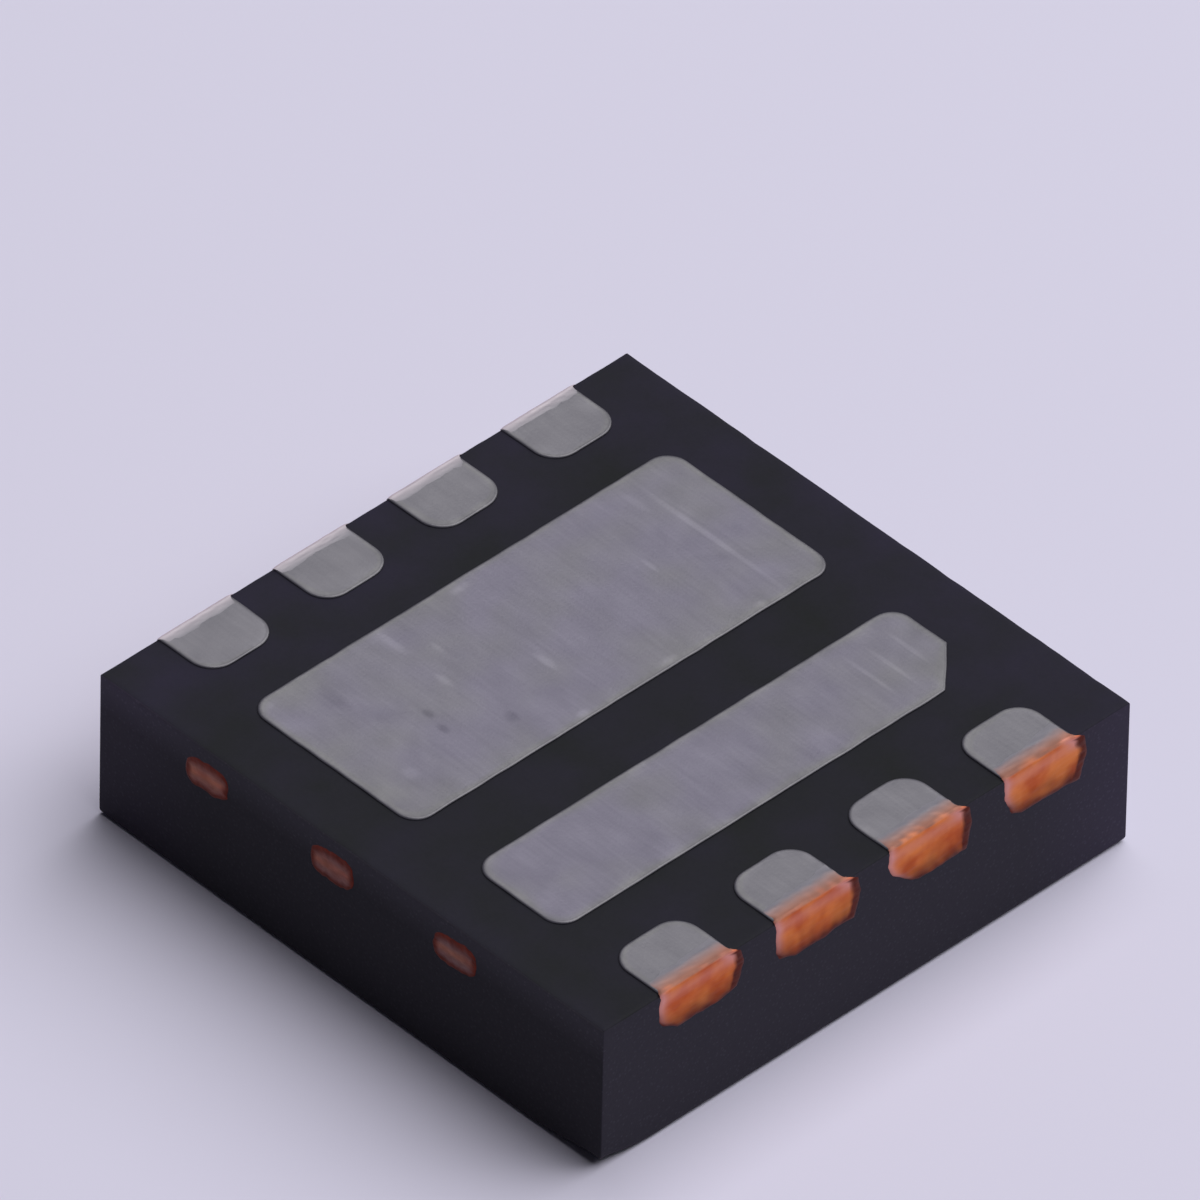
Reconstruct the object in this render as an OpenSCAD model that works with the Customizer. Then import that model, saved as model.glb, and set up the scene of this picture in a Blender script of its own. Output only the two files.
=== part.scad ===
// Leadless power package, 3 mm square, that holds two field effect transistors.
// It lies on its marking face with the terminals up. X runs along the two rows of
// terminals, and terminal 1 is the one at +X, -Y. The rows count round the package:
// 1 to 4 along the -Y side towards -X, then 5 to 8 along the +Y side back to +X.
// The origin is the middle of the marking face. Sizes are in millimetres.

/* [Moulding] */
// Length of the moulded body, along the rows of terminals
body_l = 3.00; // [2.70:0.05:3.30]
// Width of the moulded body, across the rows of terminals
body_w = 3.00; // [2.70:0.05:3.30]
// Thickness of the moulded body
body_h = 0.76; // [0.70:0.02:0.90]
// Radius of the body's upright corners and of its edges round the marking face
edge_r = 0.03; // [0.01:0.01:0.06]
// Diameter of the dimple on the marking face that shows terminal 1
dimple_d = 0.30; // [0.20:0.05:0.40]
// Depth of the dimple
dimple_deep = 0.02; // [0.01:0.01:0.05]
// Distance from the dimple's centre to each of the two sides beside it
dimple_in = 0.45; // [0.35:0.05:0.60]

/* [Lead frame] */
// Thickness of the etched copper sheet
frame_t = 0.203; // [0.180:0.001:0.254]
// Thickness left where the sheet is etched half through
etched_t = 0.10; // [0.08:0.01:0.12]
// How far the half-etched lip stands out round an exposed face
lip = 0.06; // [0.04:0.01:0.08]
// How far a wall that is etched from both faces bulges where the two halves meet
etch_bulge = 0.02; // [0.01:0.005:0.03]
// Width of a tie bar
tie_w = 0.20; // [0.14:0.01:0.24]
// Distance from a long edge of the wide pad to the middle of the tie bar beside it
tie_in = 0.125; // [0.10:0.005:0.20]
// How far all tie bars are shifted from there, towards terminals 5 to 8
tie_shift = 0.045; // [0.00:0.005:0.06]

/* [Terminals] */
// Distance between neighbouring terminals
pitch = 0.65; // [0.60:0.01:0.70]
// Width of a terminal
lead_w = 0.40; // [0.30:0.01:0.44]
// Length of a terminal's exposed face, from the sawn side
lead_len = 0.32; // [0.28:0.01:0.40]
// Corner radius at the inner end of a terminal's exposed face
lead_r = 0.12; // [0.05:0.01:0.14]
// How far a half-etched tip reaches inwards past the exposed face
tip = 0.085; // [0.06:0.005:0.10]
// How far the wide half-etched land of a gate lead stays from the sawn side
land_in = 0.10; // [0.06:0.01:0.14]
// Width of the half-etched bar that joins terminals 5 to 7
bar_w = 0.22; // [0.20:0.01:0.28]
// Width of the half-etched necks that join terminals 2 to 4 to the narrow pad
neck_w = 0.30; // [0.20:0.01:0.36]

/* [Exposed pads] */
// Length of both exposed pads, along the rows of terminals
pad_l = 2.40; // [2.20:0.05:2.50]
// Width of the narrow pad, under the small transistor
narrow_w = 0.53; // [0.48:0.01:0.60]
// Gap between the narrow pad and the wide pad, which takes the width that is left
pad_to_pad = 0.34; // [0.30:0.01:0.44]
// Gap between a pad and the exposed ends of the nearest terminals
pad_gap = 0.245; // [0.23:0.005:0.30]
// Corner radius of the pads
pad_r = 0.10; // [0.05:0.01:0.15]
// Length, along each side, of the narrow pad's cut corner beside terminal 1
corner_cut = 0.21; // [0.12:0.01:0.25]
// Thickness of the tin finish on every exposed face
finish_t = 0.01; // [0.005:0.001:0.015]

/* [Dies] */
// Thickness of both silicon dies
die_t = 0.15; // [0.10:0.01:0.18]
// Length of the small die, of the high-side transistor
small_die_l = 1.70; // [1.40:0.05:1.90]
// Width of the small die
small_die_w = 0.50; // [0.44:0.01:0.56]
// Length of the large die, of the low-side transistor
large_die_l = 2.10; // [1.90:0.05:2.20]
// Margin between the large die and the outer edge of the copper that carries it
die_margin = 0.06; // [0.04:0.01:0.08]
// Gap between the large die's inner edge and the foot of the small die's clip
foot_gap = 0.11; // [0.06:0.01:0.20]
// Width of the bare rim between the edge of a die and its metal
die_rim = 0.03; // [0.02:0.005:0.04]
// Thickness of the aluminium on the face of a die
metal_t = 0.004; // [0.003:0.001:0.010]
// Side of the square gate pad
gate_pad = 0.14; // [0.11:0.01:0.16]
// Gap between the gate pad and the source metal round it
gate_gap = 0.03; // [0.02:0.005:0.04]

/* [Clips, solder and wires] */
// Thickness of the solder under a die
attach_t = 0.02; // [0.015:0.001:0.030]
// How far the solder under a die spreads past its edges
attach_spread = 0.02; // [0.01:0.005:0.03]
// Thickness of the solder under each end of a clip
solder_t = 0.02; // [0.015:0.001:0.030]
// How far that solder stays inside the clip's edges
solder_inset = 0.01; // [0.005:0.005:0.02]
// Thickness of the copper clips
clip_t = 0.10; // [0.08:0.01:0.12]
// Angle of the clips' sloped stretch
clip_angle = 60; // [45:1:65]
// Inner radius of the clips' bends
clip_bend_r = 0.03; // [0.02:0.005:0.04]
// Length of a clip's foot
foot_len = 0.18; // [0.14:0.01:0.20]
// Margin between a clip and the edge of the metal that it sits on
clip_margin = 0.03; // [0.02:0.005:0.05]
// Width of the slot that lets the moulding flow through a clip
slot_w = 0.16; // [0.10:0.01:0.24]
// Diameter of the gate wires
wire_d = 0.038; // [0.025:0.001:0.050]
// Diameter of the ball bond
ball_d = 0.09; // [0.07:0.01:0.10]
// Height of the squashed ball
ball_h = 0.022; // [0.016:0.002:0.030]
// Straight rise of the wire above its ball
wire_rise = 0.045; // [0.030:0.005:0.060]
// Radius of the wire's bend, at its middle
wire_bend_r = 0.06; // [0.04:0.005:0.08]
// Distance from the sawn side to where a wire is stitched to its gate lead
stitch_in = 0.24; // [0.20:0.01:0.26]
// Diameter of the flattened stitch
stitch_d = 0.11; // [0.10:0.01:0.14]
// Thickness of the flattened stitch
stitch_t = 0.012; // [0.008:0.001:0.016]

/* [Hidden] */
$fn = 64;

MOULDING = "#2d2c33";
COPPER = "#c4642f";
TIN = "#84838a";
SILICON = "#4a5560";
SOLDER = "#a9abad";
WIRE = "#c98a4b";

// The inner face of the lead frame, on which the dies, clips and wires are built up
frame_z = body_h - frame_t;
side_x = body_l / 2;
side_y = body_w / 2;
pad_edge = side_y - lead_len - pad_gap;
narrow_y = -pad_edge + narrow_w / 2;
wide_w = 2 * pad_edge - narrow_w - pad_to_pad;
wide_y = pad_edge - wide_w / 2;
// A cutter, or copper before it is sawn, reaches this far past a face
past = 0.05;

// Heights above the inner face of the lead frame, towards the marking face
die_face_h = attach_t + die_t;
metal_h = die_face_h + metal_t;
plate_h = metal_h + solder_t;
foot_h = solder_t;

// The large die takes what the small clip's foot leaves of the wide pad's copper
large_die_w = wide_w + 2 * lip - clip_margin - foot_len - foot_gap - die_margin;
small_die_at = [0, narrow_y];
large_die_at = [0, wide_y + wide_w / 2 + lip - die_margin - large_die_w / 2];

// Both clips drop by the same step, so their sloped stretches are alike
clip_mid_r = clip_bend_r + clip_t / 2;
clip_drop = plate_h - foot_h;
clip_slope = (clip_drop - 2 * clip_mid_r * (1 - cos(clip_angle))) / sin(clip_angle);
clip_run = 2 * clip_mid_r * sin(clip_angle) + clip_slope * cos(clip_angle);

// Each clip's ends along X: inside its die's source metal, and for the large one
// also inside the three leads that its foot joins
gate_zone = die_rim + gate_pad + gate_gap;
small_clip_x = [-small_die_l / 2 + die_rim + clip_margin, small_die_l / 2 - gate_zone - clip_margin];
source_xs = [for (i = [5:7]) lead_x(i)];
large_clip_x = [
    -large_die_l / 2 + die_rim + clip_margin,
    max(source_xs) + lead_w / 2 - clip_margin
];

// Where each clip's flat plate begins, inside its die's source metal, along Y
small_plate_from = small_die_at.y - small_die_w / 2 + die_rim + clip_margin;
large_plate_from = large_die_at.y - large_die_w / 2 + die_rim + clip_margin;

// Where the solder under each plate stops, at the far edge of the source metal
small_solder_to = small_die_at.y + small_die_w / 2 - die_rim;
large_solder_to = large_die_at.y + large_die_w / 2 - die_rim;

// Where each clip's flat plate ends and its slope begins, along Y
small_plate_y = wide_y - wide_w / 2 - lip + clip_margin - clip_run;
large_plate_y = large_die_at.y + large_die_w / 2 + clip_margin;

// The place of a terminal along its row, and the side that its row is on
function lead_x(i) = i <= 4 ? (2.5 - i) * pitch : (i - 6.5) * pitch;
function row_side(i) = i <= 4 ? -1 : 1;

// Where a gate wire is stitched to its lead
function stitch_point(i) = [lead_x(i), row_side(i) * (side_y - stitch_in)];

// From the middle of a die to the middle of its gate pad
function gate_offset(l, w, gate_side) =
    [l / 2 - die_rim - gate_pad / 2, gate_side * (w / 2 - die_rim - gate_pad / 2)];

// Puts its children at a terminal, with the sawn side at y = 0 and the inside at +y
module at_lead(i) {
    translate([lead_x(i), row_side(i) * side_y, 0])
        rotate(row_side(i) < 0 ? 0 : 180)
            children();
}

// Builds its children up from the inner face of the lead frame, starting at height h
module on_frame(h) {
    translate([0, 0, frame_z - h])
        mirror([0, 0, 1])
            children();
}

// What a square corner has outside its arc, for a corner that points to +x, +y
module corner_waste(r) {
    difference() {
        translate([-r, -r]) square(r + past);
        translate([-r, -r]) circle(r = r);
    }
}

// A rectangle about the origin with rounded corners
module rounded_plate(l, w, r) {
    difference() {
        square([l, w], center = true);
        for (turn = [0, 180]) rotate(turn) {
            translate([l / 2, w / 2]) corner_waste(r);
            translate([-l / 2, w / 2]) rotate(90) corner_waste(r);
        }
    }
}

// What rounding takes off a lower edge that runs along x, as far from the middle as
// given, towards -y
module edge_waste(length, away) {
    translate([-length / 2 - past, -away, 0])
        rotate([90, 0, 90])
            linear_extrude(length + 2 * past) rotate(180) corner_waste(edge_r);
}

// The block of moulding compound, before anything is set in it
module block() {
    difference() {
        linear_extrude(body_h) rounded_plate(body_l, body_w, edge_r);
        for (turn = [0, 180]) {
            rotate(turn) edge_waste(body_l, side_y);
            rotate(turn + 90) edge_waste(body_w, side_x);
        }
    }
}

// What the saw leaves of copper that reaches past the sides
module sawn() {
    intersection() {
        children();
        translate([-side_x, -side_y, -past]) cube([body_l, body_w, body_h + 2 * past]);
    }
}

// A pad's outline, grown on all sides. The cut is the length of a straight corner at
// +x, -y, and its growth keeps the lip the same width along the slope.
module pad_outline(w, grow = 0, cut = 0) {
    grown_cut = cut + grow * (2 - sqrt(2));
    difference() {
        rounded_plate(pad_l + 2 * grow, w + 2 * grow, pad_r + grow);
        if (cut > 0)
            translate([pad_l / 2 + grow, -w / 2 - grow])
                polygon([[-grown_cut - past, -past], [past, -past], [past, grown_cut + past]]);
    }
}

// The exposed face of one terminal
module lead_face() {
    difference() {
        translate([-lead_w / 2, 0]) square([lead_w, lead_len]);
        translate([lead_w / 2, lead_len]) corner_waste(lead_r);
        translate([-lead_w / 2, lead_len]) rotate(90) corner_waste(lead_r);
    }
}

// A terminal's full-thickness finger, not sawn yet. Its side walls bulge where the two
// etched halves meet, and its inner end is as round as its exposed face.
module finger() {
    half = lead_w / 2;
    wall = [[half, 0], [half + etch_bulge, etched_t], [half, frame_t]];
    section = concat(wall, [for (i = [2:-1:0]) [-wall[i].x, wall[i].y]]);
    translate([0, 0, frame_z])
        difference() {
            translate([0, lead_len, 0])
                rotate([90, 0, 0])
                    linear_extrude(lead_len + past) polygon(section);
            for (side = [0, 1])
                mirror([side, 0, 0])
                    translate([half, lead_len, -past])
                        linear_extrude(frame_t + 2 * past) corner_waste(lead_r);
        }
}

// The half-etched layer of the frame, whose inner face is level with the rest
module half_etched() {
    translate([0, 0, frame_z])
        linear_extrude(etched_t) children();
}

// An exposed pad with its half-etched lip, and its tie bars out past both sawn ends
module paddle(w, at_y, tie_ys, cut = 0) {
    translate([0, at_y, 0]) {
        translate([0, 0, frame_z])
            linear_extrude(frame_t) pad_outline(w, cut = cut);
        half_etched() pad_outline(w, grow = lip, cut = cut);
        half_etched()
            for (y = tie_ys)
                translate([0, y + tie_shift]) square([body_l + 2 * past, tie_w], center = true);
    }
}

// A gate lead: a finger with a wider half-etched land for the wire
module gate_strip(i) {
    land_l = lead_len + tip - land_in;
    at_lead(i) {
        finger();
        half_etched()
            translate([0, land_in + land_l / 2])
                rounded_plate(lead_w + 2 * lip, land_l, lead_r);
    }
}

// A die's rectangle, shrunk on all sides, standing at the given height
module die_block(l, w, shrink, h, t) {
    on_frame(h)
        translate([-l / 2 + shrink, -w / 2 + shrink, 0])
            cube([l - 2 * shrink, w - 2 * shrink, t]);
}

// A silicon die with its source metal and, in the corner at +x on the given side,
// its gate pad. The metal is part of the die and stands a little proud of it.
module die(l, w, gate_side) {
    gate_at = gate_offset(l, w, gate_side);
    window = gate_pad + 2 * gate_gap + 2 * past;
    die_block(l, w, 0, attach_t, die_t);
    difference() {
        die_block(l, w, die_rim, die_face_h, metal_t);
        on_frame(die_face_h)
            translate([gate_at.x + past, gate_at.y + gate_side * past, 0])
                cube([window, window, 2 * metal_t + past], center = true);
    }
    on_frame(die_face_h)
        translate([gate_at.x - gate_pad / 2, gate_at.y - gate_pad / 2, 0])
            cube([gate_pad, gate_pad, metal_t]);
}

// A part of a flat ring, from one angle to another
module ring_part(r_in, r_out, from, to) {
    far = 2 * r_out;
    intersection() {
        difference() {
            circle(r = r_out);
            circle(r = r_in);
        }
        polygon([[0, 0], for (a = [from, (from + to) / 2, to]) far * [cos(a), sin(a)]]);
    }
}

// A clip seen from its end: a flat plate, a bend, a slope, a bend and a flat foot.
// The plate ends at y = 0, and heights count from the inner face of the frame.
module clip_profile(plate_l) {
    r_in = clip_bend_r;
    r_out = clip_bend_r + clip_t;
    translate([-plate_l, plate_h]) square([plate_l, clip_t]);
    translate([0, plate_h - clip_bend_r]) {
        ring_part(r_in, r_out, 90 - clip_angle, 90);
        rotate(90 - clip_angle)
            translate([r_in, -clip_slope]) square([clip_t, clip_slope]);
    }
    translate([clip_run, foot_h + r_out])
        ring_part(r_in, r_out, 270 - clip_angle, 270);
    translate([clip_run, foot_h]) square([foot_len, clip_t]);
}

// A copper clip between two places along X. Its plate runs from y_from to plate_y,
// and a slot through its slope and foot lets the moulding through.
module clip(x_ends, y_from, plate_y) {
    slot_x = (x_ends[0] + x_ends[1] - slot_w) / 2;
    on_frame(0)
        translate([0, plate_y, 0])
            difference() {
                translate([x_ends[0], 0, 0])
                    rotate([90, 0, 90])
                        linear_extrude(x_ends[1] - x_ends[0]) clip_profile(plate_y - y_from);
                translate([slot_x, 0, 0])
                    cube([slot_w, clip_run + foot_len + past, plate_h + clip_t + past]);
            }
}

// A flat patch of solder between two corners in plan
module solder_patch(x_ends, y_ends, h) {
    on_frame(h)
        translate([x_ends[0] + solder_inset, y_ends[0] + solder_inset, 0])
            cube([
                x_ends[1] - x_ends[0] - 2 * solder_inset,
                y_ends[1] - y_ends[0] - 2 * solder_inset,
                solder_t
            ]);
}

// Two patches of solder under a clip's foot, one on each side of its slot
module foot_solder(x_ends, plate_y) {
    y_ends = [plate_y + clip_run, plate_y + clip_run + foot_len];
    middle = (x_ends[0] + x_ends[1]) / 2;
    solder_patch([x_ends[0], middle - slot_w / 2], y_ends, 0);
    solder_patch([middle + slot_w / 2, x_ends[1]], y_ends, 0);
}

// A gate wire from the ball on its die to the stitch on its lead. Seen in its own
// upright plane it rises straight, turns over one arc and runs straight to the stitch.
// The arc ends where a line from the stitch touches it, to a hundredth of a degree.
module gate_wire(ball_at, stitch_at) {
    reach = norm(stitch_at - ball_at);
    heading = atan2(stitch_at.y - ball_at.y, stitch_at.x - ball_at.x);
    arc_h = metal_h + ball_h + wire_rise;
    to_stitch = [reach - wire_bend_r, stitch_t / 2 - arc_h];
    exact_turn = atan2(to_stitch.x, to_stitch.y) + asin(wire_bend_r / norm(to_stitch));
    turn = round(exact_turn * 100) / 100;
    run = sqrt(pow(norm(to_stitch), 2) - pow(wire_bend_r, 2));
    on_frame(0)
        translate([ball_at.x, ball_at.y, 0])
            rotate(heading)
                difference() {
                    union() {
                        translate([0, 0, metal_h]) squashed_ball();
                        translate([0, 0, metal_h + ball_h / 2])
                            cylinder(d = wire_d, h = ball_h / 2 + wire_rise);
                        translate([wire_bend_r, 0, arc_h])
                            rotate([90, 0, 0])
                                rotate(180 - turn)
                                    wire_bend(turn, run + wire_d);
                        translate([reach, 0, 0]) cylinder(d = stitch_d, h = stitch_t);
                    }
                    translate([0, -ball_d, -ball_d]) cube([2 * reach, 2 * ball_d, ball_d]);
                }
}

// The wire's arc about the origin, and the straight run that leaves it at y = 0
module wire_bend(turn, run) {
    rotate_extrude(angle = turn)
        translate([wire_bend_r, 0]) circle(d = wire_d);
    translate([wire_bend_r, 0, 0])
        rotate([90, 0, 0])
            cylinder(d = wire_d, h = run);
}

// A ball bond: a disc whose edge is round all the way
module squashed_ball() {
    flat_r = (ball_d - ball_h) / 2;
    translate([0, 0, ball_h / 2])
        rotate_extrude()
            union() {
                translate([0, -ball_h / 2]) square([flat_r, ball_h]);
                intersection() {
                    translate([flat_r, 0]) circle(d = ball_h);
                    translate([flat_r, -ball_h / 2]) square(ball_h);
                }
            }
}

// Filled epoxy, moulded round everything else and sawn square
module moulded_body() {
    color(MOULDING)
        difference() {
            block();
            translate([side_x - dimple_in, -side_y + dimple_in, -past])
                cylinder(d = dimple_d, h = dimple_deep + past);
            drain_strip();
            switch_strip();
            source_strip();
            gate_strip(1);
            gate_strip(8);
            small_die();
            large_die();
            small_die_attach();
            large_die_attach();
            small_die_clip();
            large_die_clip();
            small_clip_solder();
            large_clip_solder();
            small_foot_solder();
            large_foot_solder();
            small_gate_wire();
            large_gate_wire();
        }
}

// The narrow pad with terminals 2 to 4: the drain of the small transistor
module drain_strip() {
    paddle(narrow_w, narrow_y, [0], corner_cut);
    for (i = [2:4]) at_lead(i) {
        finger();
        half_etched()
            translate([-neck_w / 2, lead_len / 2])
                square([neck_w, lead_len / 2 + pad_gap + narrow_w / 2]);
    }
}

// The wide pad: the drain of the large transistor and the source of the small one
module switch_strip() {
    tie_y = wide_w / 2 - tie_in;
    paddle(wide_w, wide_y, [-tie_y, tie_y]);
}

// Terminals 5 to 7 and their bar: the source of the large transistor
module source_strip() {
    bar_l = max(source_xs) - min(source_xs) + lead_w + 2 * lip;
    for (i = [5:7]) at_lead(i) finger();
    at_lead(6)
        half_etched()
            translate([0, lead_len + tip - bar_w / 2])
                rounded_plate(bar_l, bar_w, lip);
}

module drain_frame() {
    color(COPPER) sawn() drain_strip();
}

module switch_frame() {
    color(COPPER) sawn() switch_strip();
}

module source_frame() {
    color(COPPER) sawn() source_strip();
}

module gate_lead_1() {
    color(COPPER) sawn() gate_strip(1);
}

module gate_lead_8() {
    color(COPPER) sawn() gate_strip(8);
}

module small_die() {
    color(SILICON)
        translate(small_die_at) die(small_die_l, small_die_w, -1);
}

module large_die() {
    color(SILICON)
        translate(large_die_at) die(large_die_l, large_die_w, 1);
}

module small_die_attach() {
    color(SOLDER)
        translate(small_die_at) die_block(small_die_l, small_die_w, -attach_spread, 0, attach_t);
}

module large_die_attach() {
    color(SOLDER)
        translate(large_die_at) die_block(large_die_l, large_die_w, -attach_spread, 0, attach_t);
}

module small_die_clip() {
    color(COPPER) clip(small_clip_x, small_plate_from, small_plate_y);
}

module large_die_clip() {
    color(COPPER) clip(large_clip_x, large_plate_from, large_plate_y);
}

module small_clip_solder() {
    color(SOLDER) solder_patch(small_clip_x, [small_plate_from, small_solder_to], metal_h);
}

module large_clip_solder() {
    color(SOLDER) solder_patch(large_clip_x, [large_plate_from, large_solder_to], metal_h);
}

module small_foot_solder() {
    color(SOLDER) foot_solder(small_clip_x, small_plate_y);
}

module large_foot_solder() {
    color(SOLDER) foot_solder(large_clip_x, large_plate_y);
}

module small_gate_wire() {
    color(WIRE)
        gate_wire(small_die_at + gate_offset(small_die_l, small_die_w, -1), stitch_point(1));
}

module large_gate_wire() {
    color(WIRE)
        gate_wire(large_die_at + gate_offset(large_die_l, large_die_w, 1), stitch_point(8));
}

// Plated tin, a little proud of the moulding
module narrow_pad_finish() {
    color(TIN)
        translate([0, narrow_y, body_h])
            linear_extrude(finish_t) pad_outline(narrow_w, cut = corner_cut);
}

module wide_pad_finish() {
    color(TIN)
        translate([0, wide_y, body_h])
            linear_extrude(finish_t) pad_outline(wide_w);
}

module terminal_finish(i) {
    color(TIN)
        at_lead(i)
            translate([0, 0, body_h])
                linear_extrude(finish_t) lead_face();
}

moulded_body();
drain_frame();
switch_frame();
source_frame();
gate_lead_1();
gate_lead_8();
small_die();
large_die();
small_die_attach();
large_die_attach();
small_die_clip();
large_die_clip();
small_clip_solder();
large_clip_solder();
small_foot_solder();
large_foot_solder();
small_gate_wire();
large_gate_wire();
narrow_pad_finish();
wide_pad_finish();
for (i = [1:8])
    terminal_finish(i);
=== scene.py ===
import math

import bpy
import numpy as np
from mathutils import Matrix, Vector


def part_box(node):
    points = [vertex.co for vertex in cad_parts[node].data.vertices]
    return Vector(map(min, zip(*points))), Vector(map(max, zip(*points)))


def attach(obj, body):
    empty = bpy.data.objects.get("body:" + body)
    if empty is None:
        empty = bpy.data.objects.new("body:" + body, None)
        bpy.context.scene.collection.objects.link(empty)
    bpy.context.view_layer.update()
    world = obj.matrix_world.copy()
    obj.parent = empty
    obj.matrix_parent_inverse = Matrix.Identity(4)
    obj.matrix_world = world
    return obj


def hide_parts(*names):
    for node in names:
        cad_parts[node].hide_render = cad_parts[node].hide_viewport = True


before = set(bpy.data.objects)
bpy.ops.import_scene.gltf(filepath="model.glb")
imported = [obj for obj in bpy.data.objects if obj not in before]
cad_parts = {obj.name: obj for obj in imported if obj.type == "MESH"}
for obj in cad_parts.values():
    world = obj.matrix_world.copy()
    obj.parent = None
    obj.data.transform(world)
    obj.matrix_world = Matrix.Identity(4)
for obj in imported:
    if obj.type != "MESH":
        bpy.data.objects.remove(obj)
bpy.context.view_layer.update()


# ---- Lead frame -------------------------------------------------------------
# One sheet of copper alloy, etched from both faces into pads, terminals and bars,
# and cut by the saw into five pieces when the packages are parted. The moulding
# and the tin hide all of it but the sawn ends.

MM = 0.001


def linear(code):
    """The linear colour of an sRGB hex value: c / 12.92 in the darkest part, and
    ((c + 0.055) / 1.055) to the power 2.4 above it."""
    c = np.array([int(code[i:i + 2], 16) for i in (0, 2, 4)]) / 255
    c = np.where(c <= 0.04045, c / 12.92, ((c + 0.055) / 1.055) ** 2.4)
    return (*c.tolist(), 1.0)


def add(tree, kind, sockets=None, **settings):
    """Adds a node with its settings. A socket is named, or numbered where several
    share a name, and takes a value, a node or one output of a node."""
    node = tree.nodes.new("ShaderNode" + kind)
    for name, value in settings.items():
        setattr(node, name, value)
    for name, value in (sockets or {}).items():
        if isinstance(name, int):
            socket = node.inputs[name]
        else:
            socket = next(s for s in node.inputs if s.name == name and s.enabled)
        if isinstance(value, bpy.types.Node):
            value = next(s for s in value.outputs if s.enabled)
        if isinstance(value, bpy.types.NodeSocket):
            tree.links.new(value, socket)
        else:
            socket.default_value = value
    return node


def new_material(name):
    """An empty material, its node tree, and the object's coordinates in millimetres."""
    material = bpy.data.materials.new(name)
    material.use_nodes = True
    tree = material.node_tree
    tree.nodes.clear()
    place = add(tree, "TexCoord").outputs["Object"]
    return material, tree, add(tree, "VectorMath", {0: place, 3: 1 / MM}, operation="SCALE")


def give(names, material):
    """Puts one material on CAD nodes that keep their own meshes."""
    for name in names:
        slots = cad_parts[name].material_slots
        for slot in slots:
            slot.material = material
        if not slots:
            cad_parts[name].data.materials.append(material)


# Etched copper alloy: a deep orange metal, dulled by air, with the fine pits of the
# etch and slow drifts from orange to brown.
etched_copper, tree, place = new_material("etched_copper_alloy")
drift = add(tree, "TexNoise", {"Vector": place, "Scale": 1 / 0.22, "Detail": 3.0})
pits = add(tree, "TexNoise", {"Vector": place, "Scale": 1 / 0.012, "Detail": 2.0})
shade = add(tree, "MapRange", {"Value": drift, "From Min": 0.35, "From Max": 0.65})
colour = add(tree, "Mix", {"Factor": shade, "A": linear("b0552a"), "B": linear("8f4326")},
             data_type="RGBA")
dull = add(tree, "MapRange", {"Value": pits, "To Min": 0.38, "To Max": 0.6})
relief = add(tree, "Bump", {"Height": pits, "Strength": 0.3, "Distance": 0.001 * MM})
shader = add(tree, "BsdfPrincipled", {
    "Base Color": colour, "Metallic": 1.0, "Roughness": dull, "Normal": relief})
add(tree, "OutputMaterial", {"Surface": shader})
give(["drain_frame", "switch_frame", "source_frame", "gate_lead_1", "gate_lead_8"],
     etched_copper)


# ---- Dies -------------------------------------------------------------------
# Two vertical power transistors of silicon, sawn from a wafer. Each has a back metal
# that is soldered to its pad, and aluminium for the source and the gate on its face.

# Silicon with aluminium on it: dark blue-grey and glossy, with the fine cells of
# the transistor as a slight texture.
die_silicon, tree, place = new_material("metallised_silicon")
cells = add(tree, "TexVoronoi", {"Vector": place, "Scale": 1 / 0.02, "Randomness": 0.2})
colour = add(tree, "Mix", {"Factor": cells, "A": linear("4a5560"), "B": linear("5d6872")},
             data_type="RGBA")
relief = add(tree, "Bump", {"Height": cells, "Strength": 0.2, "Distance": 0.001 * MM})
shader = add(tree, "BsdfPrincipled", {
    "Base Color": colour, "Metallic": 0.6, "Roughness": 0.32, "Normal": relief})
add(tree, "OutputMaterial", {"Surface": shader})
give(["small_die", "large_die"], die_silicon)


# ---- Solder -----------------------------------------------------------------
# Thin layers of high-lead solder under the dies and under both ends of each clip,
# melted in an oven and set with a frosty skin.

# Solder: a pale soft grey metal whose crystals break the gloss into small facets.
set_solder, tree, place = new_material("reflowed_solder")
grains = add(tree, "TexVoronoi", {"Vector": place, "Scale": 1 / 0.035})
colour = add(tree, "Mix", {"Factor": grains, "A": linear("a9abad"), "B": linear("8d8f93")},
             data_type="RGBA")
dull = add(tree, "MapRange", {"Value": grains, "To Min": 0.3, "To Max": 0.5})
relief = add(tree, "Bump", {"Height": grains, "Strength": 0.3, "Distance": 0.002 * MM})
shader = add(tree, "BsdfPrincipled", {
    "Base Color": colour, "Metallic": 1.0, "Roughness": dull, "Normal": relief})
add(tree, "OutputMaterial", {"Surface": shader})
give(["small_die_attach", "large_die_attach", "small_clip_solder", "large_clip_solder",
      "small_foot_solder", "large_foot_solder"], set_solder)


# ---- Clips ------------------------------------------------------------------
# Strips of rolled copper, stamped and bent, that carry the source current from the
# face of each die down to the lead frame.

# Rolled copper: reddish, with faint lines along the rolling direction, which is Y.
rolled_copper, tree, place = new_material("rolled_copper_strip")
along = add(tree, "VectorMath", {0: place, 1: (1 / 0.01, 1 / 0.4, 1 / 0.01)},
            operation="MULTIPLY")
lines = add(tree, "TexNoise", {"Vector": along, "Scale": 1.0, "Detail": 3.0})
colour = add(tree, "Mix", {"Factor": lines, "A": linear("b8764c"), "B": linear("a0623f")},
             data_type="RGBA")
dull = add(tree, "MapRange", {"Value": lines, "To Min": 0.28, "To Max": 0.45})
relief = add(tree, "Bump", {"Height": lines, "Strength": 0.25, "Distance": 0.001 * MM})
shader = add(tree, "BsdfPrincipled", {
    "Base Color": colour, "Metallic": 1.0, "Roughness": dull, "Normal": relief})
add(tree, "OutputMaterial", {"Surface": shader})
give(["small_die_clip", "large_die_clip"], rolled_copper)


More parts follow.
